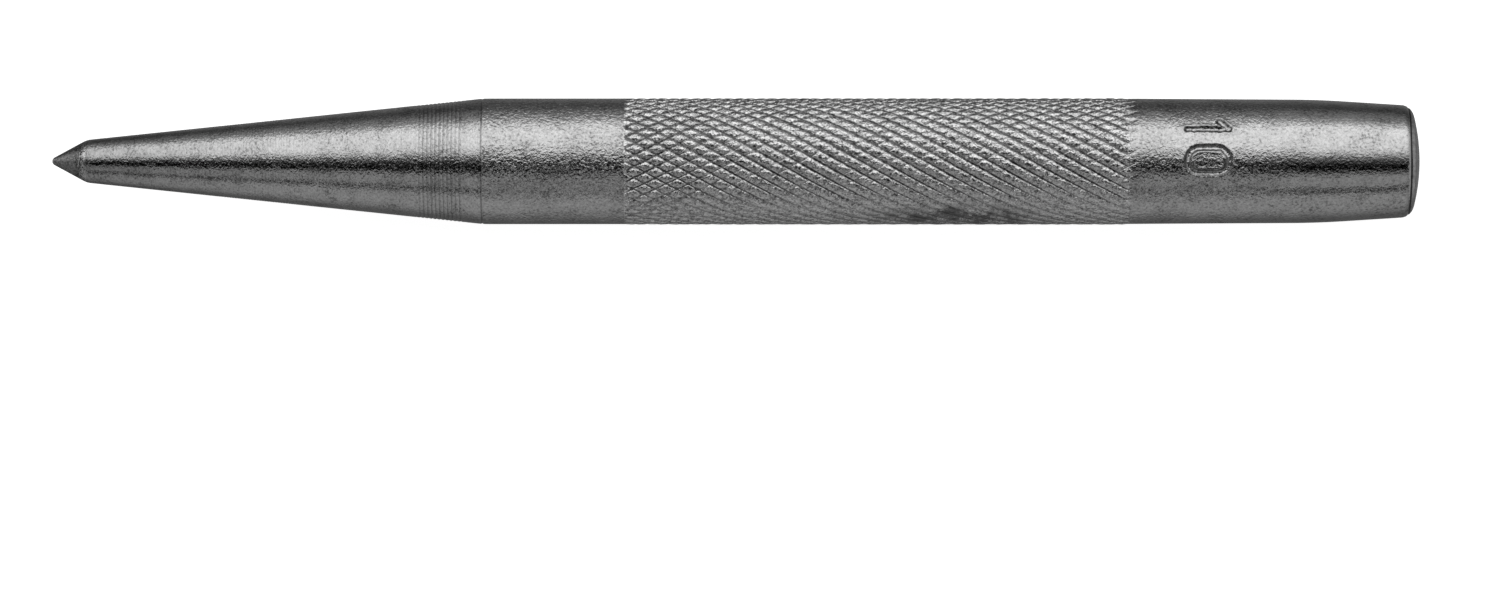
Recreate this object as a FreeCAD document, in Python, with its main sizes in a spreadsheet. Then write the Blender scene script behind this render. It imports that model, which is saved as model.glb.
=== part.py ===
"""Solid centre punch, turned from one steel bar.

Millimetres. The tool lies along X with its point towards -X and its head
towards +X, resting on Z = 0 on its knurled grip, which is its thickest part.
The origin is on that surface, under the middle of the tool's length.
"""
import FreeCAD, Part
import math
import os
import Sketcher

NODE = "punch"

# Driving dimensions. Axial stations are counted from the point's very tip.
SIZES = [
    ("overall_length", 102.0, "tip to the crown of the struck end"),
    ("tip_radius", 0.33, "rounding of the very tip"),
    ("point_angle", 57.0, "included angle of the ground point, degrees"),
    ("point_diameter", 3.2, "base of the ground point, the tool's nominal size"),
    ("land_start", 32.2, "end of the long front taper"),
    ("land_diameter", 9.38, "smooth cylinder behind the taper"),
    ("grip_start", 42.7, "front end of the knurled band"),
    ("grip_end", 80.2, "rear end of the knurled band"),
    ("grip_diameter", 9.5, "over the crests of the knurl"),
    ("grip_lead", 0.35, "length of the bevel at each end of the band"),
    ("head_land_diameter", 9.32, "smooth cylinder behind the grip"),
    ("head_taper_start", 94.6, "where the head starts to narrow"),
    ("head_diameter", 8.24, "across the struck end, before its edge is rounded"),
    ("crown_radius", 14.0, "crown of the struck end"),
    ("head_edge_radius", 0.9, "rounding between the head's side and its crown"),
]


def make_sheet(doc):
    """Put every driving dimension in the sheet as a plain number with an alias."""
    sheet = doc.addObject("Spreadsheet::Sheet", "sizes")
    for row, (alias, value, meaning) in enumerate(SIZES, start=1):
        sheet.set(f"A{row}", alias)
        sheet.set(f"B{row}", str(value))
        sheet.set(f"C{row}", meaning)
        sheet.setAlias(f"B{row}", alias)
    doc.recompute()
    return sheet


def origin_plane(body, role):
    """The body's own origin plane with this role."""
    return next(item for item in body.Origin.OriginFeatures if item.Role == role)


def draft_outline(sheet):
    """Corners of the half outline, (station, radius), from the tip to the crown."""
    tip = sheet.tip_radius
    half_angle = math.radians(sheet.point_angle / 2)
    point_radius = sheet.point_diameter / 2
    apex = tip - tip / math.sin(half_angle)
    land = sheet.land_diameter / 2
    grip = sheet.grip_diameter / 2
    head_land = sheet.head_land_diameter / 2
    head = sheet.head_diameter / 2
    crown_rise = sheet.crown_radius - math.sqrt(sheet.crown_radius**2 - head**2)
    return [
        (tip - tip * math.sin(half_angle), tip * math.cos(half_angle)),
        (apex + point_radius / math.tan(half_angle), point_radius),
        (sheet.land_start, land),
        (sheet.grip_start, land),
        (sheet.grip_start + sheet.grip_lead, grip),
        (sheet.grip_end - sheet.grip_lead, grip),
        (sheet.grip_end, head_land),
        (sheet.head_taper_start, head_land),
        (sheet.overall_length - crown_rise, head),
    ]


def draw_outline(sketch, sheet):
    """Draw the closed half outline: tip arc, straight flanks, crown arc, axis."""
    corners = [FreeCAD.Vector(x, y, 0) for x, y in draft_outline(sheet)]
    length = sheet.overall_length
    tip = sheet.tip_radius
    crown = sheet.crown_radius
    flat = FreeCAD.Vector(0, 0, 1)

    tip_circle = Part.Circle(FreeCAD.Vector(tip, 0, 0), flat, tip)
    half_angle = math.radians(sheet.point_angle / 2)
    tip_arc = sketch.addGeometry(Part.ArcOfCircle(tip_circle, math.pi / 2 + half_angle, math.pi))
    flanks = [
        sketch.addGeometry(Part.LineSegment(start, end))
        for start, end in zip(corners, corners[1:])
    ]
    crown_circle = Part.Circle(FreeCAD.Vector(length - crown, 0, 0), flat, crown)
    crown_reach = math.asin(corners[-1].y / crown)
    crown_arc = sketch.addGeometry(Part.ArcOfCircle(crown_circle, 0, crown_reach))
    axis = sketch.addGeometry(
        Part.LineSegment(FreeCAD.Vector(length, 0, 0), FreeCAD.Vector(0, 0, 0))
    )
    return tip_arc, flanks, crown_arc, axis


def join_outline(sketch, tip_arc, flanks, crown_arc, axis):
    """Close the outline, and lay its axis and its cylindrical flanks along X."""
    start, end, centre = 1, 2, 3
    sketch.addConstraint(Sketcher.Constraint("Tangent", tip_arc, start, flanks[0], start))
    for before, after in zip(flanks, flanks[1:]):
        sketch.addConstraint(Sketcher.Constraint("Coincident", before, end, after, start))
    sketch.addConstraint(Sketcher.Constraint("Coincident", flanks[-1], end, crown_arc, end))
    sketch.addConstraint(Sketcher.Constraint("Coincident", crown_arc, start, axis, start))
    sketch.addConstraint(Sketcher.Constraint("Coincident", tip_arc, end, axis, end))
    sketch.addConstraint(Sketcher.Constraint("Coincident", axis, end, -1, 1))
    sketch.addConstraint(Sketcher.Constraint("PointOnObject", axis, start, -1))
    sketch.addConstraint(Sketcher.Constraint("PointOnObject", tip_arc, centre, -1))
    sketch.addConstraint(Sketcher.Constraint("PointOnObject", crown_arc, centre, -1))
    for cylinder in (flanks[2], flanks[4], flanks[6]):
        sketch.addConstraint(Sketcher.Constraint("Horizontal", cylinder))


def drive(sketch, name, constraint, formula):
    """Add one named dimension and bind it to the sheet."""
    index = sketch.addConstraint(constraint)
    sketch.renameConstraint(index, name)
    sketch.setExpression(f"Constraints.{name}", formula)


def size_outline(sketch, sheet, tip_arc, flanks, crown_arc, axis):
    """Give the outline its stations, radii and angles."""
    start, end = 1, 2
    corners = draft_outline(sheet)

    def station(name, flank, formula):
        value = corners[flank + 1][0]
        constraint = Sketcher.Constraint("DistanceX", -1, 1, flanks[flank], end, value)
        drive(sketch, name, constraint, formula)

    def radius(name, flank, formula):
        value = corners[flank + 1][1]
        constraint = Sketcher.Constraint("DistanceY", -1, 1, flanks[flank], end, value)
        drive(sketch, name, constraint, formula)

    drive(
        sketch,
        "length",
        Sketcher.Constraint("DistanceX", -1, 1, axis, start, sheet.overall_length),
        "sizes.overall_length",
    )
    drive(
        sketch,
        "tip_rounding",
        Sketcher.Constraint("Radius", tip_arc, sheet.tip_radius),
        "sizes.tip_radius",
    )
    drive(
        sketch,
        "point_half_angle",
        Sketcher.Constraint("Angle", -1, 1, flanks[0], start, math.radians(sheet.point_angle / 2)),
        "sizes.point_angle / 2 * 1 deg",
    )
    drive(
        sketch,
        "crown",
        Sketcher.Constraint("Radius", crown_arc, sheet.crown_radius),
        "sizes.crown_radius",
    )
    radius("point_base", 0, "sizes.point_diameter / 2")
    radius("land", 1, "sizes.land_diameter / 2")
    station("land_from", 1, "sizes.land_start")
    station("grip_from", 2, "sizes.grip_start")
    radius("grip", 3, "sizes.grip_diameter / 2")
    station("grip_full_from", 3, "sizes.grip_start + sizes.grip_lead")
    station("grip_full_to", 4, "sizes.grip_end - sizes.grip_lead")
    radius("head_land", 5, "sizes.head_land_diameter / 2")
    station("grip_to", 5, "sizes.grip_end")
    station("head_taper_from", 6, "sizes.head_taper_start")
    radius("head_end", 7, "sizes.head_diameter / 2")


def head_edge_name(shape, sheet):
    """Name of the circular edge where the head's side meets its crown."""
    head = sheet.head_diameter / 2
    behind = sheet.head_taper_start
    for number, edge in enumerate(shape.Edges, start=1):
        if edge.Degenerated or not isinstance(edge.Curve, Part.Circle):
            continue
        if abs(edge.Curve.Radius - head) < 1e-4 and edge.Curve.Center.x > behind:
            return f"Edge{number}"
    raise RuntimeError("the head has no edge to round")


def make_punch(doc, sheet):
    """Revolve the half outline, then round the edge of the struck end."""
    body = doc.addObject("PartDesign::Body", NODE)
    body.Label = NODE

    sketch = body.newObject("Sketcher::SketchObject", "half_outline")
    sketch.AttachmentSupport = (origin_plane(body, "XZ_Plane"), [""])
    sketch.MapMode = "FlatFace"
    pieces = draw_outline(sketch, sheet)
    join_outline(sketch, *pieces)
    size_outline(sketch, sheet, *pieces)
    doc.recompute()

    turned = body.newObject("PartDesign::Revolution", "turned_bar")
    turned.Profile = sketch
    turned.ReferenceAxis = (sketch, ["H_Axis"])
    turned.Angle = 360
    doc.recompute()

    rounded = body.newObject("PartDesign::Fillet", "rounded_head")
    rounded.Base = (turned, [head_edge_name(turned.Shape, sheet)])
    rounded.setExpression("Radius", "sizes.head_edge_radius")

    body.setExpression("Placement.Base.x", "-sizes.overall_length / 2")
    body.setExpression("Placement.Base.z", "sizes.grip_diameter / 2")
    doc.recompute()
    return body, turned


def check(doc, body, turned):
    """Stop if a feature failed, or if rounding the head removed nothing."""
    for item in doc.Objects:
        if "Invalid" in item.State or "Error" in item.State:
            raise RuntimeError(f"{item.Name} failed: {item.State}")
    if body.Shape.isNull() or not body.Shape.isValid() or len(body.Shape.Solids) != 1:
        raise RuntimeError("the punch is not one valid solid")
    if body.Shape.Volume >= turned.Shape.Volume - 0.1:
        raise RuntimeError("the head's edge was not rounded")


def main():
    doc = FreeCAD.newDocument("centre_punch")
    sheet = make_sheet(doc)
    body, turned = make_punch(doc, sheet)
    check(doc, body, turned)
    box = body.Shape.optimalBoundingBox()
    print(f"{NODE}: {box.XLength:.3f} x {box.YLength:.3f} x {box.ZLength:.3f} mm")
    print(f"X {box.XMin:.3f} to {box.XMax:.3f}, Z {box.ZMin:.3f} to {box.ZMax:.3f}")
    os.makedirs("parts", exist_ok=True)
    body.Shape.exportStep(f"parts/{NODE}.step")


main()
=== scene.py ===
"""A solid steel centre punch lying on a pale floor, seen from above.

Sizes below are in millimetres, stations are counted along the bar from its
point, and a turn is an angle round the bar from its top towards +Y. Blender's
own objects are in metres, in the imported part's frame.
"""

import math

import bmesh
import bpy
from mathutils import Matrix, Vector, noise


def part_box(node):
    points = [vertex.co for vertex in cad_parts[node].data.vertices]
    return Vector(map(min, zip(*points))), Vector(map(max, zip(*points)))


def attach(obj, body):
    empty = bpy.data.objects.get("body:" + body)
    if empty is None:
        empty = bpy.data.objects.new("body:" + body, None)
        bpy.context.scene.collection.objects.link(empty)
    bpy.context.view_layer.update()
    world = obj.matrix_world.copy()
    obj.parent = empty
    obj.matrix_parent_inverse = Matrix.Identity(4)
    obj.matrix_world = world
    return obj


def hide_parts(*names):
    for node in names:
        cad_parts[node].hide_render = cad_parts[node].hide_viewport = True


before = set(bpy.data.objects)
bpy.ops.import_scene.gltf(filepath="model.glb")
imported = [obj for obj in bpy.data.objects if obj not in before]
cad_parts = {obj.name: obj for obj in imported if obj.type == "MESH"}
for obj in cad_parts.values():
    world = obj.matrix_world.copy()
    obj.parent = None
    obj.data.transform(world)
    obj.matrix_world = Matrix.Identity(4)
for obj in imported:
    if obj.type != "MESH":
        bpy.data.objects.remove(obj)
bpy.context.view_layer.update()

MM = 0.001
LOW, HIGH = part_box("punch")
LENGTH = (HIGH[0] - LOW[0]) / MM
GRIP_RADIUS = (HIGH[2] - LOW[2]) / 2 / MM
AXIS_HEIGHT = (HIGH[2] + LOW[2]) / 2

# The bar's outline: a rounded tip, straight runs between eased corners, and a crowned end.
TIP_RADIUS = 0.33
POINT_HALF_ANGLE = math.radians(28.5)
POINT_BASE = 2.585
POINT_BASE_RADIUS = 1.6
LAND_START = 32.2
LAND_RADIUS = 4.69
GRIP_START = 42.7
GRIP_END = 80.2
GRIP_CHAMFER = 0.3
HEAD_LAND_RADIUS = 4.66
HEAD_TAPER_START = 94.4
HEAD_TAPER_RADIUS = 4.6
HEAD_SLOPE = 0.0626
EDGE_RADIUS = 1.0
CROWN_RADIUS = 14.0
# Thin rings pressed into the struck end's edge, as (station, depth).
EDGE_LINES = [(101.16, 0.06), (101.5, 0.012)]
EDGE_LINE_WIDTH = 0.09

# Corners, as (station, radius, how far either side of the corner it is eased).
CORNERS = [
    (POINT_BASE, POINT_BASE_RADIUS, 0.26),
    (LAND_START, LAND_RADIUS, 0.35),
    (GRIP_START, LAND_RADIUS, 0.05),
    (GRIP_START + GRIP_CHAMFER, GRIP_RADIUS, 0.1),
    (GRIP_END - GRIP_CHAMFER, GRIP_RADIUS, 0.1),
    (GRIP_END, HEAD_LAND_RADIUS + 0.02, 0.05),
    (GRIP_END + 3.0, HEAD_LAND_RADIUS, 0.5),
    (HEAD_TAPER_START, HEAD_TAPER_RADIUS, 1.6),
]

# The knurl: two crossing families of ridges with a sharp groove between them, rolled in
# as screws of many starts. A ridge of family A leans: its crest is CREST_A of the way to
# the next groove. A groove's edge and its flat bottom are HALF_WIDTH and HALF_BOTTOM of a
# pitch from its middle.
STARTS_A = 32
STARTS_B = 34
AXIAL_PITCH_A = 1.59
AXIAL_PITCH_B = 1.665
RIDGE_A = 0.11
RIDGE_B = 0.085
GROOVE = 0.045
CREST_A = 0.6
HALF_WIDTH = 0.12
HALF_BOTTOM = 0.04
UNEVEN = 0.018
# Where the skin has its lines, from groove to groove: both lists have the same length.
LINES_A = [0.04, 0.12, 0.5, 0.68, 0.88, 0.96]
LINES_B = [0.04, 0.12, 0.32, 0.68, 0.88, 0.96]
# Family A runs out over RUN_OUT_A before the grip's end. Family B is whole until KEPT_B
# behind that end, and has run out at OVERRUN.
RUN_OUT_A = 0.25
KEPT_B = 0.2
OVERRUN = 0.8
# Family B fades by FADE_B over FADE_RUN_B from the grip's front. On the +Y side, growing
# between the two turns, FADE_LESS_B of that fade is taken back.
FADE_B = 0.7
FADE_RUN_B = 12
FADE_LESS_B = 0.6
FADE_TURNS_B = (math.radians(22), math.radians(45))
# How much the knurl is rubbed down, at which turn, and how far from it that fades.
WORN = 0.45
WORN_TURN = math.radians(-75)
WORN_REACH = (math.radians(25), math.radians(65))

# Turning marks on the taper, as (start, end, pitch, depth): a fine run and a heavy one.
# Each mark is a notch whose sides reach NOTCH of a pitch from its middle.
TURNING = [(12.2, 18.4, 0.2, 0.014), (26.9, 31.1, 0.3, 0.036)]
TURNING_FADE = 0.8
TURNING_VARIES = 0.4
NOTCH = 0.3
# The thin tool mark where the taper meets the land.
SHOULDER_DEPTH = 0.04
SHOULDER_HALF_WIDTH = 0.1

# The stamped size number, a plain 10: its stem, its flag and its nought, in millimetres
# across the number and up it.
STAMP_START = 84.5
STAMP_HEIGHT = 3.1
STAMP_TURNS = (math.radians(-24), math.radians(52))
STEM = ((-2.45, 0.0), (-2.45, STAMP_HEIGHT))
FLAG = ((-2.45, STAMP_HEIGHT), (-3.15, STAMP_HEIGHT - 0.7))
NOUGHT_RADIUS = 0.95
# A stroke's cross-section: half its flat bottom, half its width, and the lip beside it.
STAMP_DEPTH = 0.16
STROKE_BOTTOM = 0.04
STROKE = 0.27
STROKE_RAGGED = 0.09
LIP_HEIGHT = 0.04
LIP_AWAY = 0.07
LIP_WIDTH = 0.08

# Dirt, with painted shade in the hollows: how much lies in a stroke, how far from its middle
# and how wide; how deep a turning mark or an edge line is when full of it, and the most that a
# turning mark takes; and the middle and the spread of the smear of dirt on the grip.
STROKE_DIRT_AND_SHADE = 1.2
STROKE_DIRT_AND_SHADE_AT = 0.75
STROKE_DIRT_AND_SHADE_WIDTH = 0.1
TURNING_DIRT_AND_SHADE_DEPTH = 0.05
TURNING_DIRT_AND_SHADE_MOST = 0.7
EDGE_DIRT_AND_SHADE_DEPTH = 0.03
GRIME_ALONG = 25.0
GRIME_LENGTH = 6.0
GRIME_TURN = math.radians(-66)
GRIME_WIDTH = math.radians(20)

# How the skin is divided: its columns, how far the close rings reach on either side of the
# point's base and of the shoulder, how far off the grip's seams the plain rings start, and
# the rings across the number and behind it.
COLUMNS = 96
BASE_REACH = 0.5
SHOULDER_REACH = 0.25
SEAM_FRONT = 0.3
SEAM_BACK = 0.35
STAMP_MARGIN = 0.45
STAMP_GAP = 0.085
BEHIND_STAMP = 1.2


def place(station, radius, turn):
    """The point of the row frame, in metres, at this place on the bar."""
    return Vector((
        LOW[0] + station * MM,
        radius * MM * math.sin(turn),
        AXIS_HEIGHT + radius * MM * math.cos(turn),
    ))


def station_of(point):
    return (point[0] - LOW[0]) / MM


def turn_of(point):
    return math.atan2(point[1], point[2] - AXIS_HEIGHT)


def smooth_step(low, high, value):
    share = min(max((value - low) / (high - low), 0.0), 1.0)
    return share * share * (3 - 2 * share)


def even(count):
    """Turns of the columns of an evenly divided ring."""
    return [2 * math.pi * step / count - math.pi for step in range(count)]


# ---------------------------------------------------------------- outline


def straight_radius(station):
    """The outline as straight lines between its corners."""
    if station < POINT_BASE:
        return POINT_BASE_RADIUS - (POINT_BASE - station) * math.tan(POINT_HALF_ANGLE)
    for (start, radius, _), (end, next_radius, _) in zip(CORNERS, CORNERS[1:]):
        if station <= end:
            share = (station - start) / (end - start)
            return radius + (next_radius - radius) * share
    return HEAD_TAPER_RADIUS - (station - HEAD_TAPER_START) * HEAD_SLOPE


def turning_mark(station):
    """Depth of the turning marks at this station."""
    depth = 0.0
    for start, end, pitch, deepest in TURNING:
        count = (station - start) / pitch
        notch = max(0.0, 1 - abs(count - round(count)) / NOTCH)
        fade = smooth_step(start, start + TURNING_FADE, station)
        fade *= 1 - smooth_step(end - TURNING_FADE, end, station)
        uneven = noise.noise(Vector((round(count) * 1.7, start, 0.0)))
        strength = 1 + TURNING_VARIES * uneven
        depth += deepest * fade * strength * notch
    return depth


def shoulder_line(station):
    """Depth of the thin tool mark where the taper meets the land."""
    off = abs(station - LAND_START + SHOULDER_HALF_WIDTH)
    return SHOULDER_DEPTH * max(0.0, 1 - off / SHOULDER_HALF_WIDTH)


def bar_radius(station):
    """The outline with its corners eased, less the marks turned into it."""
    _, _, reach = min(CORNERS, key=lambda corner: abs(corner[0] - station))
    eased = sum(straight_radius(station + reach * step / 3) for step in range(-3, 4)) / 7
    return eased - turning_mark(station) - shoulder_line(station)


# ---------------------------------------------------------------- knurl


def phases(station, turn):
    """How many grooves of each family lie between this place and the start."""
    along = station - GRIP_START
    around = turn / (2 * math.pi)
    phase_a = along / AXIAL_PITCH_A + around * STARTS_A
    phase_b = along / AXIAL_PITCH_B - around * STARTS_B
    return phase_a, phase_b


def crossing(phase_a, phase_b):
    """The station and the turn where these two phases meet."""
    leads = STARTS_B / AXIAL_PITCH_A + STARTS_A / AXIAL_PITCH_B
    along = (STARTS_B * phase_a + STARTS_A * phase_b) / leads
    turn = 2 * math.pi * (phase_a - along / AXIAL_PITCH_A) / STARTS_A
    return GRIP_START + along, turn


def groove(phase):
    """1 along the flat bottom of a groove, 0 from its edges on."""
    off = abs(phase - round(phase))
    return min(1.0, max(0.0, (HALF_WIDTH - off) / (HALF_WIDTH - HALF_BOTTOM)))


def leaning_ridge(phase):
    """How far a ridge of family A has fallen from its crest: 0 there, 1 in the groove."""
    share = phase - math.floor(phase)
    if share < CREST_A:
        return (CREST_A - share) / CREST_A
    return (share - CREST_A) / (1 - CREST_A)


def round_ridge(phase):
    """The same for family B, whose ridges are round and even."""
    off = abs(phase - round(phase))
    return (1 - 2 * off) ** 2


def worn(turn):
    """How much the knurl is rubbed down, along one side of the bar."""
    away = abs((turn - WORN_TURN + math.pi) % (2 * math.pi) - math.pi)
    return WORN * (1 - smooth_step(*WORN_REACH, away))


def knurl_relief(station, turn):
    """Depth of the knurl below the grip's crests, and how deep in a groove it is."""
    phase_a, phase_b = phases(station, turn)
    spot = Vector((station * 0.35, math.sin(turn) * 2.2, math.cos(turn) * 2.2))
    patchy = noise.noise(spot)
    entered = smooth_step(GRIP_START, GRIP_START + GRIP_CHAMFER, station)
    inside_a = entered * (1 - smooth_step(GRIP_END - RUN_OUT_A, GRIP_END, station))
    inside_b = entered * (1 - smooth_step(GRIP_END + KEPT_B, GRIP_END + OVERRUN, station))
    fading = smooth_step(GRIP_START, GRIP_START + FADE_RUN_B, station)
    fading *= 1 - FADE_LESS_B * smooth_step(*FADE_TURNS_B, turn)
    strength_a = inside_a * (1 - worn(turn)) * (1 + 0.2 * patchy)
    strength_b = inside_b * (1 - worn(turn)) * (1 - FADE_B * fading - 0.25 * patchy)

    ridges = RIDGE_A * strength_a * leaning_ridge(phase_a)
    ridges += RIDGE_B * strength_b * round_ridge(phase_b)
    grooves = GROOVE * max(strength_a * groove(phase_a), strength_b * groove(phase_b))
    rough = noise.noise(Vector((station * 2.6, turn * 12.0, 7.0)))
    uneven = UNEVEN * inside_a * (1 + rough)
    return ridges + grooves + uneven, min(1.0, grooves / GROOVE)


def lattice_skin(bm, start, end):
    """A skin whose lines run along the grooves and ridges, cut square at both ends."""
    per_groove = len(LINES_A)
    around_a, around_b = STARTS_A * per_groove, STARTS_B * per_groove
    leads = STARTS_B / AXIAL_PITCH_A + STARTS_A / AXIAL_PITCH_B
    made = {}

    def phase(lines, index):
        return index // per_groove + lines[index % per_groove]

    def corner(i, j):
        if i >= around_a:
            i, j = i - around_a, j + around_b
        if (i, j) not in made:
            station, turn = crossing(phase(LINES_A, i), phase(LINES_B, j))
            made[i, j] = bm.verts.new(place(station, GRIP_RADIUS, turn))
        return made[i, j]

    def faceted(index):
        """Whether this strip is a groove's wall or bottom, and so has crisp edges."""
        return index % per_groove in (0, per_groove - 2, per_groove - 1)

    for i in range(around_a):
        phase_a = phase(LINES_A, i)
        first = (leads * (start - GRIP_START) - STARTS_B * (phase_a + 1)) / STARTS_A
        last = (leads * (end - GRIP_START) - STARTS_B * phase_a) / STARTS_A
        before, after = math.floor(first) - 1, math.ceil(last) + 1
        for j in range(before * per_groove, after * per_groove):
            cell = (corner(i, j), corner(i + 1, j), corner(i + 1, j + 1), corner(i, j + 1))
            bm.faces.new(cell).smooth = not (faceted(i) or faceted(j))

    for station, outward in ((start, -1), (end, 1)):
        bmesh.ops.bisect_plane(
            bm,
            geom=bm.verts[:] + bm.edges[:] + bm.faces[:],
            dist=0.01 * MM,
            plane_co=place(station, 0, 0),
            plane_no=(outward, 0, 0),
            clear_outer=True,
        )


def knurled_grip(bm):
    """The grip's skin and its two end loops, sorted round the bar."""
    start, end = GRIP_START, GRIP_END + OVERRUN
    lattice_skin(bm, start, end)
    edges = {start: [], end: []}
    for vert in bm.verts:
        station, turn = station_of(vert.co), turn_of(vert.co)
        relief, _ = knurl_relief(station, turn)
        vert.co = place(station, bar_radius(station) - relief, turn)
    for edge in bm.edges:
        if edge.is_boundary:
            near = min(edges, key=lambda cut: abs(station_of(edge.verts[0].co) - cut))
            edges[near] += edge.verts
    return [sorted(set(edges[cut]), key=lambda v: turn_of(v.co)) for cut in (start, end)]


# ---------------------------------------------------------------- stamp


def to_segment(x, y, start, end):
    """Distance from a point to a straight stroke."""
    run = Vector(end) - Vector(start)
    off = Vector((x, y)) - Vector(start)
    share = min(max(off.dot(run) / run.length_squared, 0.0), 1.0)
    return (off - run * share).length


def to_number(x, y):
    """Distance to the strokes of the number, x across it and y up it."""
    core = (0.0, NOUGHT_RADIUS), (0.0, STAMP_HEIGHT - NOUGHT_RADIUS)
    nought = abs(to_segment(x, y, *core) - NOUGHT_RADIUS)
    return min(to_segment(x, y, *STEM), to_segment(x, y, *FLAG), nought)


def stamp_relief(station, turn):
    """Depth of the stamped number here, negative on the lip beside a stroke, and its dirt and
    painted shade.
    """
    if not STAMP_TURNS[0] < turn < STAMP_TURNS[1]:
        return 0.0, 0.0
    ragged = noise.noise(Vector((station * 3.1, turn * 14.0, 3.0)))
    distance = to_number(-turn * HEAD_LAND_RADIUS, station - STAMP_START)
    distance += STROKE_RAGGED * ragged
    pressed = STAMP_DEPTH * (1 - smooth_step(STROKE_BOTTOM, STROKE, distance))
    lip = LIP_HEIGHT * math.exp(-(((distance - STROKE - LIP_AWAY) / LIP_WIDTH) ** 2))
    uneven = 0.85 + 0.4 * noise.noise(Vector((station * 0.9, turn * 3.0, 5.0)))
    # Dirt and painted shade along each stroke, darkest on its sides.
    off = (distance - STROKE_DIRT_AND_SHADE_AT * STROKE) / STROKE_DIRT_AND_SHADE_WIDTH
    dirt_and_shade = STROKE_DIRT_AND_SHADE * math.exp(-(off**2))
    return (pressed - lip) * uneven, dirt_and_shade * uneven


def stamp_columns():
    """Turns of the head land's columns, close together across the number."""
    low, high = STAMP_TURNS
    fine, coarse = 74, 48
    close = [low + (high - low) * step / fine for step in range(fine)]
    rest = 2 * math.pi - (high - low)
    wide = [high + rest * step / coarse for step in range(coarse)]
    return sorted((turn + math.pi) % (2 * math.pi) - math.pi for turn in close + wide)


# ---------------------------------------------------------------- whole skin


def ring(bm, station, radius, turns):
    return [bm.verts.new(place(station, radius, turn)) for turn in turns]


def join_even(bm, rings):
    """Quads between rings that have the same columns."""
    for front, back in zip(rings, rings[1:]):
        count = len(front)
        for step in range(count):
            after = (step + 1) % count
            bm.faces.new((front[step], front[after], back[after], back[step])).smooth = True


def join_uneven(bm, front, back):
    """Triangles between two closed loops, each sorted round the bar."""
    turns_front = [turn_of(vert.co) for vert in front]
    turns_back = [turn_of(vert.co) for vert in back]
    i = j = 0
    while i < len(front) or j < len(back):
        next_front = turns_front[i + 1] if i + 1 < len(front) else turns_front[0] + 2 * math.pi
        next_back = turns_back[j + 1] if j + 1 < len(back) else turns_back[0] + 2 * math.pi
        here, there = front[i % len(front)], back[j % len(back)]
        if j >= len(back) or (i < len(front) and next_front <= next_back):
            bm.faces.new((here, front[(i + 1) % len(front)], there)).smooth = True
            i += 1
        else:
            bm.faces.new((here, back[(j + 1) % len(back)], there)).smooth = True
            j += 1


def close_with(bm, rim, pole):
    for step, vert in enumerate(rim):
        bm.faces.new((vert, rim[(step + 1) % len(rim)], pole)).smooth = True


def spread(start, end, gap):
    """Stations from start up to, but not including, end, about gap apart."""
    count = max(1, round((end - start) / gap))
    return [start + (end - start) * step / count for step in range(count)]


def tip_profile():
    """The rounded tip, as (station, radius), up to where the ground cone starts."""
    steps = 6
    sweep = math.pi / 2 - POINT_HALF_ANGLE
    arc = [sweep * step / steps for step in range(1, steps + 1)]
    return [(TIP_RADIUS * (1 - math.cos(a)), TIP_RADIUS * math.sin(a)) for a in arc]


def front_profile():
    """Cone, taper and front land, with a ring for every side of a turning mark."""
    cone_start = tip_profile()[-1][0]
    stations = spread(cone_start, POINT_BASE - BASE_REACH, 0.2)[1:]
    stations += spread(POINT_BASE - BASE_REACH, POINT_BASE + BASE_REACH, 0.07)
    reached = POINT_BASE + BASE_REACH
    for start, end, pitch, _ in TURNING:
        stations += spread(reached, start, 0.8) + [start]
        for count in range(1, int((end - start) / pitch)):
            stations += [start + (count + side) * pitch for side in (-NOTCH, 0, NOTCH)]
        reached = end
    shoulder = LAND_START - SHOULDER_REACH, LAND_START + SHOULDER_REACH
    stations += spread(reached, shoulder[0], 0.3)
    stations += spread(*shoulder, 0.05)
    stations += spread(shoulder[1], GRIP_START - SEAM_FRONT, 0.8)
    stations += [GRIP_START - SEAM_FRONT]
    return [(station, bar_radius(station)) for station in stations]


def head_land_stations():
    """From behind the grip to just past the number, close together across the number."""
    front, back = STAMP_START - STAMP_MARGIN, STAMP_START + STAMP_HEIGHT + STAMP_MARGIN
    stations = [GRIP_END + OVERRUN + SEAM_BACK]
    stations += spread(GRIP_END + OVERRUN + 0.7, front, 0.6)
    stations += spread(front, back, STAMP_GAP)
    return stations + [back]


def edge_arc():
    """Centre of the arc that rounds the struck end's edge, tangent to side and crown."""
    lean = math.hypot(1, HEAD_SLOPE)
    crown_centre = LENGTH - CROWN_RADIUS
    side = HEAD_TAPER_RADIUS - (crown_centre - HEAD_TAPER_START) * HEAD_SLOPE
    inner_side = side - EDGE_RADIUS * lean
    reach = CROWN_RADIUS - EDGE_RADIUS
    root = (inner_side * HEAD_SLOPE) ** 2 - lean**2 * (inner_side**2 - reach**2)
    along = (inner_side * HEAD_SLOPE + math.sqrt(root)) / lean**2
    return crown_centre + along, inner_side - HEAD_SLOPE * along


def edge_line(station):
    """Depth of the thin rings pressed into the struck end's edge."""
    return sum(
        depth * max(0.0, 1 - abs(station - at) / EDGE_LINE_WIDTH) for at, depth in EDGE_LINES
    )


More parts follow.
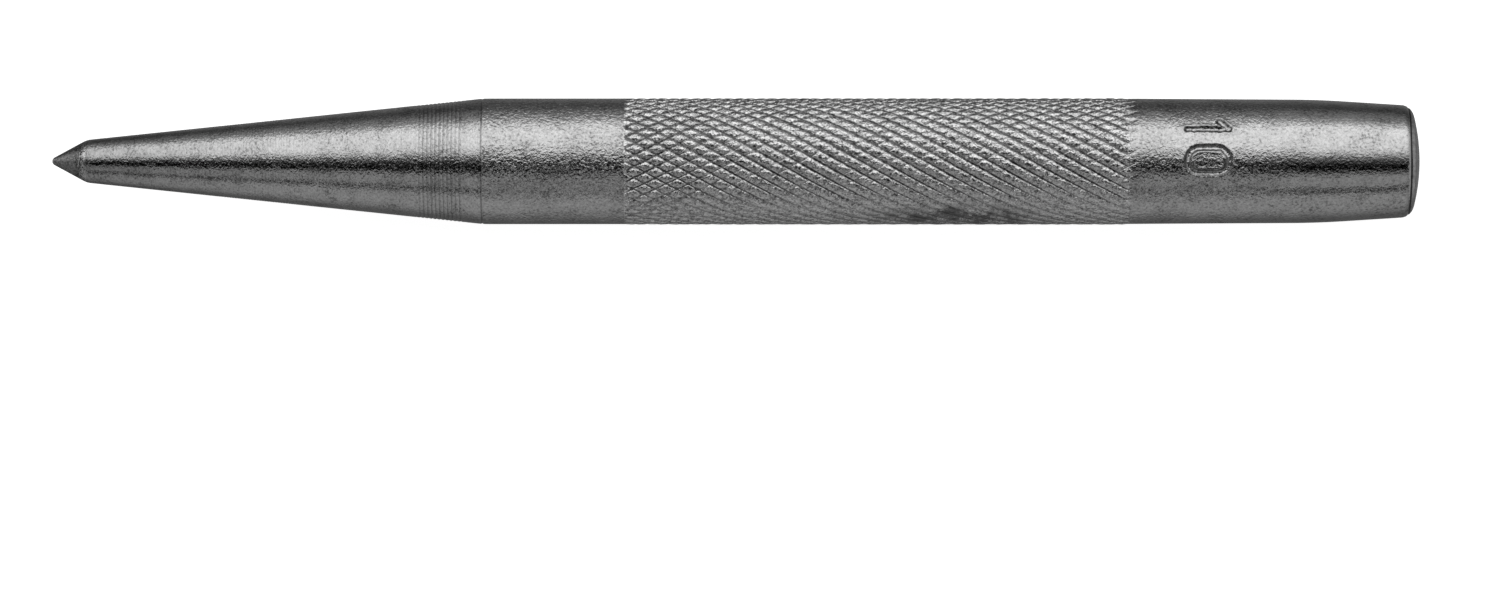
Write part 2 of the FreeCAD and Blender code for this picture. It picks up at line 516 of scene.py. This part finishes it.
def head_profile():
    """Rear of the head land, the head's taper and its crowned end, up to the pole."""
    centre, height = edge_arc()
    crown_centre = LENGTH - CROWN_RADIUS
    side_lean = math.atan(HEAD_SLOPE)
    crown_lean = math.atan2(height, centre - crown_centre)
    start = centre + EDGE_RADIUS * math.sin(side_lean)
    behind = STAMP_START + STAMP_HEIGHT + BEHIND_STAMP
    profile = [(s, bar_radius(s)) for s in spread(behind, start, 0.5)]
    steps = 24
    for step in range(steps):
        angle = side_lean + (math.pi / 2 - crown_lean - side_lean) * step / steps
        station = centre + EDGE_RADIUS * math.sin(angle)
        radius = height + EDGE_RADIUS * math.cos(angle)
        profile.append((station, radius - edge_line(station)))
    rings = 9
    for step in range(rings):
        angle = crown_lean * (1 - step / rings)
        station = crown_centre + CROWN_RADIUS * math.cos(angle)
        profile.append((station, CROWN_RADIUS * math.sin(angle)))
    return profile


def punch_skin():
    """The whole closed skin of the bar."""
    bm = bmesh.new()
    grip_front, grip_back = knurled_grip(bm)

    columns = even(COLUMNS)
    tip = bm.verts.new(place(0, 0, 0))
    front = [ring(bm, s, r, columns) for s, r in tip_profile() + front_profile()]
    close_with(bm, front[0], tip)
    join_even(bm, front)
    join_uneven(bm, front[-1], grip_front)

    fine = stamp_columns()
    stamped = []
    for station in head_land_stations():
        radius = bar_radius(station)
        turned = [(turn, radius - stamp_relief(station, turn)[0]) for turn in fine]
        stamped.append([bm.verts.new(place(station, r, turn)) for turn, r in turned])
    join_uneven(bm, grip_back, stamped[0])
    join_even(bm, stamped)

    back = [ring(bm, s, r, columns) for s, r in head_profile()]
    crown = bm.verts.new(place(LENGTH, 0, 0))
    join_uneven(bm, stamped[-1], back[0])
    join_even(bm, back)
    close_with(bm, back[-1], crown)

    bmesh.ops.recalc_face_normals(bm, faces=bm.faces[:])
    return bm


# ---------------------------------------------------------------- finishes

PLATE_GREY = 0.62
# How far the dull plating darkens, and how far the calm plating's mottling dies down.
DULL = -0.25
CALM = -0.85
FINE_MOTTLE = 0.4
LINES_APART = 0.1
LINES_FROM = (10.5, 13.0)
# The plating's ragged edge behind the point: how far it strays, and where it lies.
EDGE_STRAYS = 3.0
EDGE_SHIFT = 3.2


def add(tree, kind, inputs=None, **settings):
    """Add a node, set it up, and link or set its inputs."""
    made = tree.nodes.new(kind)
    for name, value in settings.items():
        setattr(made, name, value)
    for name, value in (inputs or {}).items():
        if isinstance(value, bpy.types.NodeSocket):
            tree.links.new(value, made.inputs[name])
        else:
            made.inputs[name].default_value = value
    return made


def ramp(tree, value, stops):
    """A ramp from (position, grey) stops."""
    made = add(tree, "ShaderNodeValToRGB", {"Fac": value})
    elements = made.color_ramp.elements
    while len(elements) < len(stops):
        elements.new(0.5)
    for element, (position, grey) in zip(elements, stops):
        element.position = position
        element.color = (grey, grey, grey, 1)
    return made.outputs["Color"]


def grain(tree, where, size, detail=2.0, roughness=0.5, distortion=0.0):
    """Noise whose grains are about this many millimetres across."""
    made = add(
        tree,
        "ShaderNodeTexNoise",
        {
            "Vector": where,
            "Scale": 1 / (size * MM),
            "Detail": detail,
            "Roughness": roughness,
            "Distortion": distortion,
        },
    )
    return made.outputs["Fac"]


def math_node(tree, operation, *values):
    inputs = dict(enumerate(values))
    return add(tree, "ShaderNodeMath", inputs, operation=operation).outputs[0]


def bump(tree, height, depth, under=None):
    """Turn a height of 0 to 1 into a relief of this many millimetres."""
    inputs = {"Height": height, "Distance": depth * MM, "Strength": 1.0}
    if under is not None:
        inputs["Normal"] = under
    return add(tree, "ShaderNodeBump", inputs).outputs["Normal"]


def new_finish(name):
    """A material with one metal shader, its tree and its object coordinates."""
    material = bpy.data.materials.new(name)
    material.use_nodes = True
    tree = material.node_tree
    shader = tree.nodes["Principled BSDF"]
    shader.inputs["Metallic"].default_value = 1.0
    where = add(tree, "ShaderNodeTexCoord").outputs["Object"]
    return material, tree, shader, where


def along_bar(tree, where):
    """The station, in millimetres from the point."""
    x = add(tree, "ShaderNodeSeparateXYZ", {"Vector": where}).outputs["X"]
    return math_node(tree, "MULTIPLY_ADD", x, 1 / MM, -LOW[0] / MM)


def cavity_of(tree):
    """How deep in a mark, a groove or a stroke the skin is here, and so how much dirt and
    painted shade darken it.
    """
    return add(tree, "ShaderNodeAttribute", attribute_name="cavity").outputs["Fac"]


def between(tree, value, low, high):
    """0 up to the low end, 1 from the high end on."""
    inputs = {"Value": value, "From Min": low, "From Max": high}
    return add(tree, "ShaderNodeMapRange", inputs).outputs["Result"]


def turning_lines(tree, station, pitch):
    """Irregular rings round the bar, about this many millimetres apart."""
    made = add(
        tree,
        "ShaderNodeTexNoise",
        {"W": station, "Scale": 1 / pitch, "Detail": 2.0},
        noise_dimensions="1D",
    )
    return made.outputs["Fac"]


def plate(name, mottle, lines=0.0, stretch=1.0, calm=None, dull=None, dirty_and_shaded=False):
    """Bright plating, mottled, with turning lines this deep and its grains drawn out round it.

    Calm is the pair of stations between which the mottling dies down, and dull the pair
    between which the plating darkens. Dirty plating is dark where the skin's cavity is high,
    from dirt and painted shade in its marks and strokes.
    """
    material, tree, shader, where = new_finish(name)
    station = along_bar(tree, where)
    drawn_out = {"Vector": where, "Scale": (stretch, 1, 1)}
    where = add(tree, "ShaderNodeMapping", drawn_out).outputs[0]
    pits = grain(tree, where, 0.24, detail=1.5, roughness=0.55, distortion=0.7)
    specks = grain(tree, where, 0.2, detail=2.0, roughness=0.6, distortion=0.5)
    stain = grain(tree, where, 2.2, detail=4.0, roughness=0.65)
    tint = math_node(tree, "MULTIPLY_ADD", specks, 0.6, math_node(tree, "MULTIPLY", stain, 0.4))
    tones = [(0.36, 0.42), (0.45, 0.86), (0.6, 1.16)]
    colour = ramp(tree, tint, [(at, PLATE_GREY * tone) for at, tone in tones])
    if dull:
        darker = math_node(tree, "MULTIPLY_ADD", between(tree, station, *dull), DULL, 1.0)
        colour = math_node(tree, "MULTIPLY", colour, darker)
    if dirty_and_shaded:
        # Dirt and painted shade: darker where the cavity is high, in the turning marks, the
        # shoulder line and the stamped strokes.
        dirt_and_shade = ramp(tree, cavity_of(tree), [(0.2, 1.0), (0.9, 0.25)])
        colour = math_node(tree, "MULTIPLY", colour, dirt_and_shade)
    tree.links.new(colour, shader.inputs["Base Color"])
    gloss = ramp(tree, tint, [(0.36, 0.22), (0.46, 0.1), (0.6, 0.07)])
    tree.links.new(gloss, shader.inputs["Roughness"])
    if calm:
        left = math_node(tree, "MULTIPLY_ADD", between(tree, station, *calm), CALM, 1.0)
        pits = math_node(tree, "MULTIPLY", pits, left)
    relief = bump(tree, pits, mottle)
    relief = bump(tree, specks, mottle * FINE_MOTTLE, relief)
    if lines:
        rings = turning_lines(tree, station, LINES_APART)
        rings = math_node(tree, "MULTIPLY", rings, between(tree, station, *LINES_FROM))
        relief = bump(tree, rings, lines, relief)
    tree.links.new(relief, shader.inputs["Normal"])
    return material


def ground_steel():
    """Bare ground steel of the point, with the plating's ragged edge behind it."""
    material, tree, shader, where = new_finish("ground_steel")
    station = along_bar(tree, where)
    ragged = grain(tree, where, 0.3, detail=5.0, roughness=0.75, distortion=1.0)
    edge = math_node(tree, "MULTIPLY_ADD", ragged, EDGE_STRAYS, station)
    edge = math_node(tree, "SUBTRACT", edge, EDGE_SHIFT)
    scratches = grain(tree, where, 0.12, detail=2.0)
    bare = ramp(tree, scratches, [(0.35, 0.18), (0.65, 0.48)])
    coat = ramp(tree, edge, [(0.16, 1.0), (0.30, 0.2), (0.46, 0.35), (0.54, 2.0)])
    tree.links.new(math_node(tree, "MULTIPLY", bare, coat), shader.inputs["Base Color"])
    gloss = ramp(tree, edge, [(0.0, 0.34), (0.42, 0.45), (0.52, 0.12)])
    tree.links.new(gloss, shader.inputs["Roughness"])
    lines = turning_lines(tree, station, 0.05)
    relief = bump(tree, lines, 0.010)
    relief = bump(tree, scratches, 0.030, relief)
    tree.links.new(relief, shader.inputs["Normal"])
    return material


def knurled_plate():
    """Plating on the grip: bright on the crests, darkened in the grooves by dirt and painted
    shade, and dirty in a smear.
    """
    material, tree, shader, where = new_finish("knurled_plate")
    cavity = cavity_of(tree)
    grime = add(tree, "ShaderNodeAttribute", attribute_name="grime").outputs["Fac"]
    marks = grain(tree, where, 0.22, detail=1.5, roughness=0.55, distortion=0.7)
    stain = grain(tree, where, 1.6, detail=4.0, roughness=0.6)
    clean = ramp(tree, marks, [(0.34, 0.38), (0.45, 0.7), (0.62, 0.92)])
    # Dirt and painted shade: the grooves are darkened by their cavity, with stains mixed in.
    dirt_and_shade = math_node(tree, "MULTIPLY_ADD", stain, 0.3, cavity)
    dirt_and_shade = ramp(tree, dirt_and_shade, [(0.45, 1.0), (1.0, 0.25)])
    colour = math_node(tree, "MULTIPLY", clean, dirt_and_shade)
    spots = math_node(tree, "MULTIPLY_ADD", marks, 4.0, -3.6)
    spots = math_node(tree, "MULTIPLY_ADD", stain, 4.5, spots)
    smear = math_node(tree, "MULTIPLY", grime, spots)
    smear = ramp(tree, smear, [(0.1, 1.0), (0.8, 0.25)])
    colour = math_node(tree, "MULTIPLY", colour, smear)
    tree.links.new(colour, shader.inputs["Base Color"])
    gloss = math_node(tree, "MULTIPLY_ADD", grime, 0.12, 0.08)
    tree.links.new(gloss, shader.inputs["Roughness"])
    relief = bump(tree, marks, 0.085)
    tree.links.new(relief, shader.inputs["Normal"])
    return material


def struck_steel():
    """The crowned end: dull plating, scuffed, with dirt and painted shade in its edge lines."""
    material, tree, shader, where = new_finish("struck_steel")
    cavity = cavity_of(tree)
    scuffs = grain(tree, where, 0.35, detail=4.0, roughness=0.65)
    colour = ramp(tree, scuffs, [(0.35, 0.34), (0.5, 0.52), (0.65, 0.62)])
    # Dirt and painted shade: darker in the edge lines, by their cavity.
    colour = math_node(tree, "MULTIPLY", colour, ramp(tree, cavity, [(0.2, 1.0), (0.7, 0.12)]))
    tree.links.new(colour, shader.inputs["Base Color"])
    gloss = ramp(tree, scuffs, [(0.35, 0.4), (0.65, 0.22)])
    tree.links.new(gloss, shader.inputs["Roughness"])
    relief = bump(tree, scuffs, 0.03)
    tree.links.new(relief, shader.inputs["Normal"])
    return material


# Each finish with the station where it ends.
FINISHES = [
    (ground_steel(), POINT_BASE),
    (
        plate("turned_plate", 0.032, lines=0.014, stretch=1.4, dull=(18, 4), dirty_and_shaded=True),
        LAND_START,
    ),
    (plate("land_plate", 0.06), GRIP_START),
    (knurled_plate(), GRIP_END + 0.1),
    (
        plate("head_plate", 0.052, calm=(88, 95), dirty_and_shaded=True),
        EDGE_LINES[0][0] - EDGE_LINE_WIDTH,
    ),
    (struck_steel(), LENGTH + 1),
]


def finish_index(station):
    return next(i for i, (_, end) in enumerate(FINISHES) if station < end)


# ---------------------------------------------------------------- punch


# The skin's map: the margin round each half, and the length that a half takes up. Up to
# END_REACH from either end of the bar, the map is moved by END_SPREAD of what the radius
# is short of END_RADIUS, and beyond that by END_SHIFT. This folds the crowned end's
# middle over the map of its rim.
MAP_MARGIN = 0.01
MAP_REACH = LENGTH / 2 + 3.5
END_REACH = 3
END_RADIUS = 2.9
END_SPREAD = 0.6
END_SHIFT = 1.74
AT_POLE = 0.01


def lay_out_map(bm):
    """Unroll the skin on its map, with the bar's rear half above its front half."""
    layer = bm.loops.layers.uv.new("OFBake")
    half = LENGTH / 2
    height = 0.5 - 3 * MAP_MARGIN
    for face in bm.faces:
        centre = face.calc_center_median()
        middle, base = station_of(centre), turn_of(centre)
        rear = middle > half
        for loop in face.loops:
            along, turn = station_of(loop.vert.co), turn_of(loop.vert.co)
            radius = math.hypot(loop.vert.co[1], loop.vert.co[2] - AXIS_HEIGHT) / MM
            if radius < AT_POLE:
                turn = base
            turn = base + (turn - base + math.pi) % (2 * math.pi) - math.pi
            if rear:
                along = LENGTH - along
            if along < END_REACH:
                along += max(0.0, END_RADIUS - radius) * END_SPREAD
            else:
                along += END_SHIFT
            across = (turn / (2 * math.pi) + 0.5) * height + 1.5 * MAP_MARGIN
            along = MAP_MARGIN + along / MAP_REACH * (1 - 2 * MAP_MARGIN)
            loop[layer].uv = (along, across + 0.5 * rear)


def grime_at(station, turn):
    """A smear of dirt low on the grip, thickest towards its rear."""
    along = (station - GRIP_START - GRIME_ALONG) / GRIME_LENGTH
    around = (turn - GRIME_TURN) / GRIME_WIDTH
    return math.exp(-(along * along + around * around))


# The finishes darken their colour by this: dirt and painted shade in the hollows.
def cavity_at(station, turn):
    """How deep in a groove, a mark or a stroke this place is: 0 on the open skin."""
    if GRIP_START < station < GRIP_END + OVERRUN:
        return knurl_relief(station, turn)[1]
    if station < LAND_START:
        depth = turning_mark(station) + shoulder_line(station)
        return min(TURNING_DIRT_AND_SHADE_MOST, depth / TURNING_DIRT_AND_SHADE_DEPTH)
    if station > GRIP_END:
        in_line = edge_line(station) / EDGE_DIRT_AND_SHADE_DEPTH
        return min(1.0, in_line + stamp_relief(station, turn)[1])
    return 0.0


def make_punch():
    bm = punch_skin()
    cavity = bm.verts.layers.float.new("cavity")
    grime = bm.verts.layers.float.new("grime")
    for vert in bm.verts:
        station, turn = station_of(vert.co), turn_of(vert.co)
        vert[cavity] = cavity_at(station, turn)
        if GRIP_START < station < GRIP_END + OVERRUN:
            vert[grime] = grime_at(station, turn)
    for face in bm.faces:
        face.material_index = finish_index(station_of(face.calc_center_median()))
    lay_out_map(bm)
    mesh = bpy.data.meshes.new("punch_bar")
    bm.to_mesh(mesh)
    bm.free()
    for finish, _ in FINISHES:
        mesh.materials.append(finish)
    punch = bpy.data.objects.new("punch_bar", mesh)
    bpy.context.scene.collection.objects.link(punch)
    return punch


punch = make_punch()
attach(punch, "root")
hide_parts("punch")


# ---------------------------------------------------------------- floor and light

FLOOR_SIZE = 3.0
FLOOR_GLOW = 0.88
FRAME_WIDTH = 0.11195
LENS = 200.0
SENSOR = 36.0
# How far the camera stands from straight above the bar's middle.
CAMERA_ASIDE = Vector((1.07 * MM, -10.35 * MM, 0))

# What the bar reflects, as (angle from straight up, positive towards +Y; brightness).
STUDIO = [
    (-180, 0.10),
    (-150, 0.10),
    (-134, 0.12),
    (-120, 0.22),
    (-104, 0.31),
    (-80, 0.33),
    (-66, 0.30),
    (-63, 0.0),
    (-57, 0.0),
    (-54, 0.28),
    (-29, 0.29),
    (-22, 0.05),
    (-20, 0.0),
    (-8, 0.0),
    (-3, 0.04),
    (3, 0.12),
    (9, 0.28),
    (16, 0.80),
    (28, 0.98),
    (45, 1.03),
    (68, 1.08),
    (80, 0.40),
    (92, 0.23),
    (106, 0.15),
    (118, 0.05),
    (136, 0.09),
    (158, 0.17),
    (180, 0.10),
]
# How much of that is left, by how far a reflection leans towards +X.
ALONG = [(-0.9, 0.75), (-0.6, 0.7), (-0.32, 1.0), (0.34, 1.0), (0.6, 0.7), (0.8, 0.6)]
# And how much the plain walls beyond each end have taken over.
ENDWISE = [(-0.94, 1.0), (-0.78, 0.0), (0.62, 0.0), (0.8, 1.0)]
END_WALLS = (0.36, 0.36, 0.36, 1)
# The table below each end, and how far down a reflection has to point to reach it: half
# its drop, and a quarter of how far it leans along the bar.
TABLE = (0.18, 0.18, 0.18, 1)
DOWNWARD = [(0.5, 0.0), (0.54, 1.0)]
DROP_COUNTS = -0.5
LEAN_COUNTS = 0.25
BACKDROP = (0.98, 0.98, 0.98, 1)


def make_floor():
    half = FLOOR_SIZE / 2
    corners = [(-half, -half), (half, -half), (half, half), (-half, half)]
    mesh = bpy.data.meshes.new("floor")
    mesh.from_pydata([(x, y, LOW[2]) for x, y in corners], [], [(0, 1, 2, 3)])
    material = bpy.data.materials.new("pale_paper")
    material.use_nodes = True
    tree = material.node_tree
    shader = tree.nodes["Principled BSDF"]
    shader.inputs["Roughness"].default_value = 0.9
    shader.inputs["Specular IOR Level"].default_value = 0.1
    shader.inputs["Emission Color"].default_value = (1, 1, 1, 1)
    shader.inputs["Emission Strength"].default_value = FLOOR_GLOW
    where = add(tree, "ShaderNodeTexCoord").outputs["Object"]
    fibres = grain(tree, where, 1.5, detail=3.0)
    colour = ramp(tree, fibres, [(0.3, 0.90), (0.7, 0.92)])
    tree.links.new(colour, shader.inputs["Base Color"])
    mesh.materials.append(material)
    floor = bpy.data.objects.new("floor", mesh)
    bpy.context.scene.collection.objects.link(floor)
    floor.visible_glossy = False


def colour_mix(tree, factor, first, second):
    """Blend two colours, each a socket or a plain colour."""
    mix = tree.nodes.new("ShaderNodeMix")
    mix.data_type = "RGBA"
    ends = [socket for socket in mix.inputs if socket.type == "RGBA"]
    for socket, value in zip((mix.inputs[0], *ends), (factor, first, second)):
        if isinstance(value, bpy.types.NodeSocket):
            tree.links.new(value, socket)
        else:
            socket.default_value = value
    return next(socket for socket in mix.outputs if socket.type == "RGBA")


def make_studio():
    """A long softbox towards +Y, a dark card beside the lens, and grey walls."""
    world = bpy.data.worlds.new("studio")
    bpy.context.scene.world = world
    world.use_nodes = True
    tree = world.node_tree
    background = tree.nodes["Background"]
    towards = add(tree, "ShaderNodeTexCoord").outputs["Generated"]
    split = add(tree, "ShaderNodeSeparateXYZ", {"Vector": towards}).outputs
    lean = math_node(tree, "ARCTAN2", split["Y"], split["Z"])
    share = math_node(tree, "MULTIPLY_ADD", lean, 1 / (2 * math.pi), 0.5)
    bands = ramp(tree, share, [((angle + 180) / 360, level) for angle, level in STUDIO])
    leaning = math_node(tree, "MULTIPLY_ADD", split["X"], 0.5, 0.5)
    along = ramp(tree, leaning, [((x + 1) / 2, level) for x, level in ALONG])
    endwise = ramp(tree, leaning, [((x + 1) / 2, level) for x, level in ENDWISE])
    dimmed = math_node(tree, "MULTIPLY", bands, along)
    walls = colour_mix(tree, endwise, dimmed, END_WALLS)
    outward = math_node(tree, "ABSOLUTE", split["X"])
    outward = math_node(tree, "MULTIPLY", outward, LEAN_COUNTS)
    downward = math_node(tree, "MULTIPLY_ADD", split["Z"], DROP_COUNTS, outward)
    walls = colour_mix(tree, ramp(tree, downward, DOWNWARD), walls, TABLE)
    straight = add(tree, "ShaderNodeLightPath").outputs["Is Camera Ray"]
    seen = colour_mix(tree, straight, walls, BACKDROP)
    tree.links.new(seen, background.inputs["Color"])


def make_camera():
    data = bpy.data.cameras.new("camera")
    data.lens = LENS
    data.sensor_width = SENSOR
    camera = bpy.data.objects.new("camera", data)
    bpy.context.scene.collection.objects.link(camera)
    centre = place(LENGTH / 2, 0, 0)
    height = FRAME_WIDTH * LENS / SENSOR
    camera.location = centre + CAMERA_ASIDE + Vector((0, 0, height))
    bpy.context.scene.camera = camera


make_floor()
make_studio()
make_camera()
bpy.context.scene.view_settings.view_transform = "Standard"
